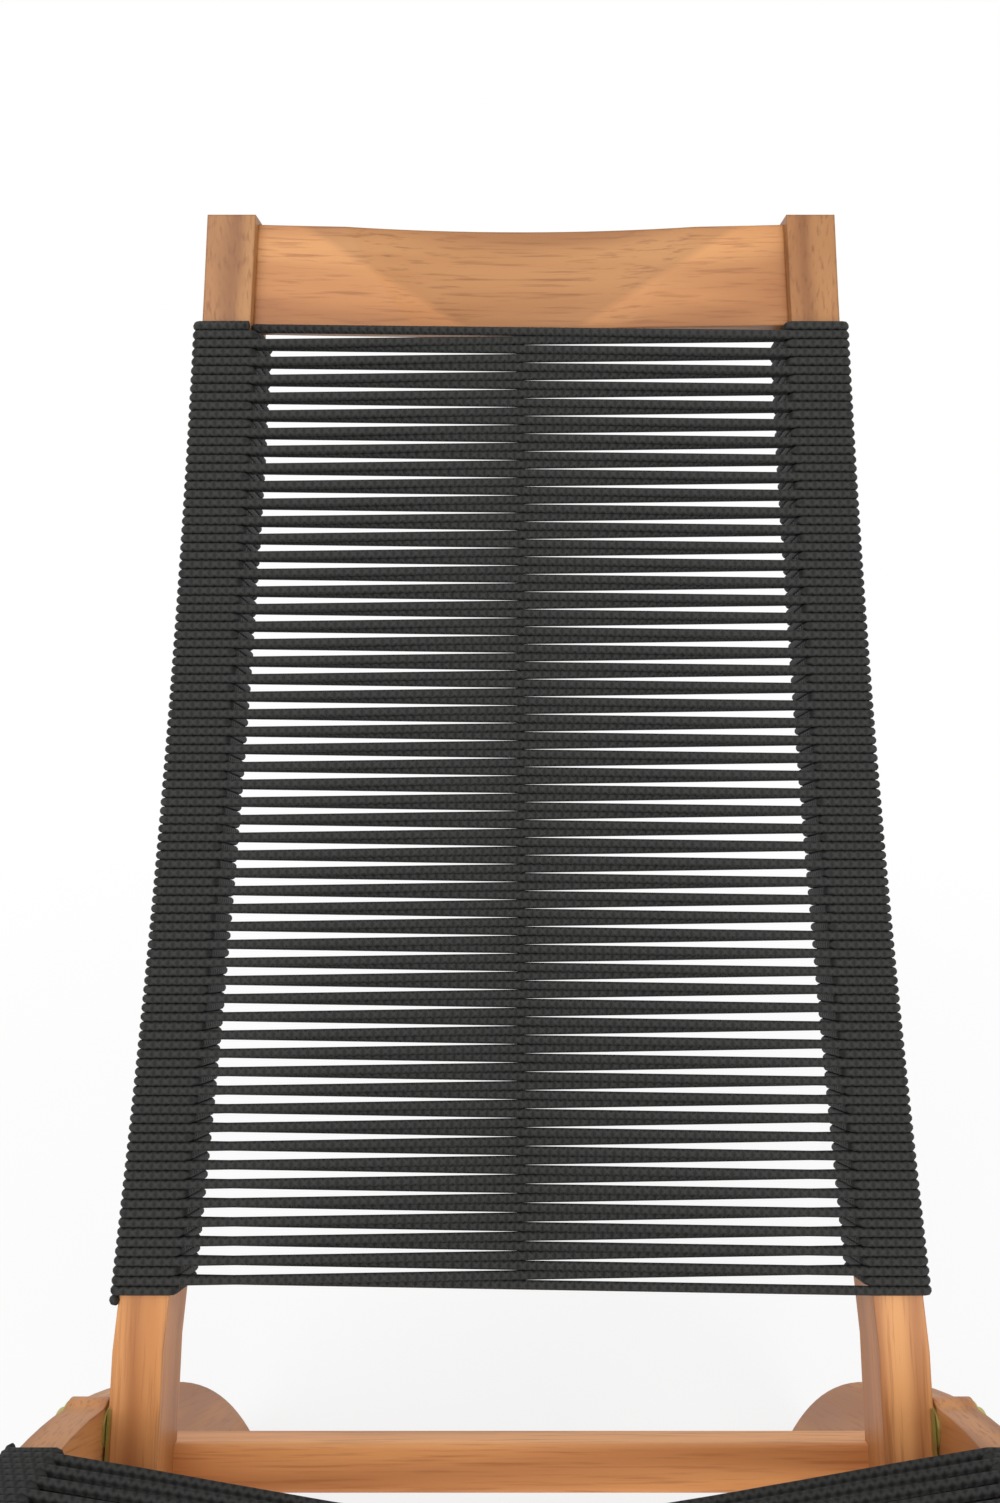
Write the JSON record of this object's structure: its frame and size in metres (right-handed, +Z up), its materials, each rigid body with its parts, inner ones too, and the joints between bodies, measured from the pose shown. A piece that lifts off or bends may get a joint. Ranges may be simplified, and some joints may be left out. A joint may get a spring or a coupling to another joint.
{
  "type": "folding lounge chair",
  "caption": "Low folding wooden lounge chair: a reclined back frame and an arched seat frame cross on a hinge and carry black rope wound between their sides.",
  "frame": {"origin": "on the floor under the middle of the chair's box", "axes": "+X across the chair to the viewer's right, -Y towards the front of the seat, +Z up"},
  "size_m": [0.5152, 0.7516, 0.9527],
  "materials": {
    "oiled_wood": "satin oiled",
    "black_rope": "matte braided",
    "zinc_steel": "yellow zinc",
    "glide_nylon": "matte",
    "bush_nylon": "matte"
  },
  "bodies": {
    "back_frame": {"stile_left": "oiled_wood", "stile_right": "oiled_wood", "top_rail": "oiled_wood", "leg_rail": "oiled_wood", "back_stretcher": "oiled_wood", "stretcher_screws": "zinc_steel", "back_wrap_left": "black_rope", "back_wrap_right": "black_rope", "back_rope_panel": "black_rope", "hinge_strap_left": "zinc_steel", "hinge_strap_right": "zinc_steel", "strap_screws": "zinc_steel", "pivot_bolt_left": "zinc_steel", "pivot_bolt_right": "zinc_steel", "pivot_washer_left": "zinc_steel", "pivot_washer_right": "zinc_steel", "pivot_insert_left": "zinc_steel", "pivot_insert_right": "zinc_steel", "front_glide_left": "glide_nylon", "front_glide_right": "glide_nylon"},
    "seat_frame": {"side_board_left": "oiled_wood", "side_board_right": "oiled_wood", "seat_front_rail": "oiled_wood", "seat_stop_rail": "oiled_wood", "cross_dowels": "oiled_wood", "seat_wrap_left": "black_rope", "seat_wrap_right": "black_rope", "seat_rope_panel": "black_rope", "hub_plate_left": "zinc_steel", "hub_plate_right": "zinc_steel", "pivot_bush_left": "bush_nylon", "pivot_bush_right": "bush_nylon", "cross_bolts": "zinc_steel", "barrel_nuts": "zinc_steel", "rear_glide_left": "glide_nylon", "rear_glide_right": "glide_nylon"}
  },
  "joints": [
    {"name": "fold", "type": "hinge", "parent": "back_frame", "child": "seat_frame", "pos_m": [0, 0.038, 0.335], "axis": [-1, 0, 0], "range_deg": [0, 64]}
  ]
}
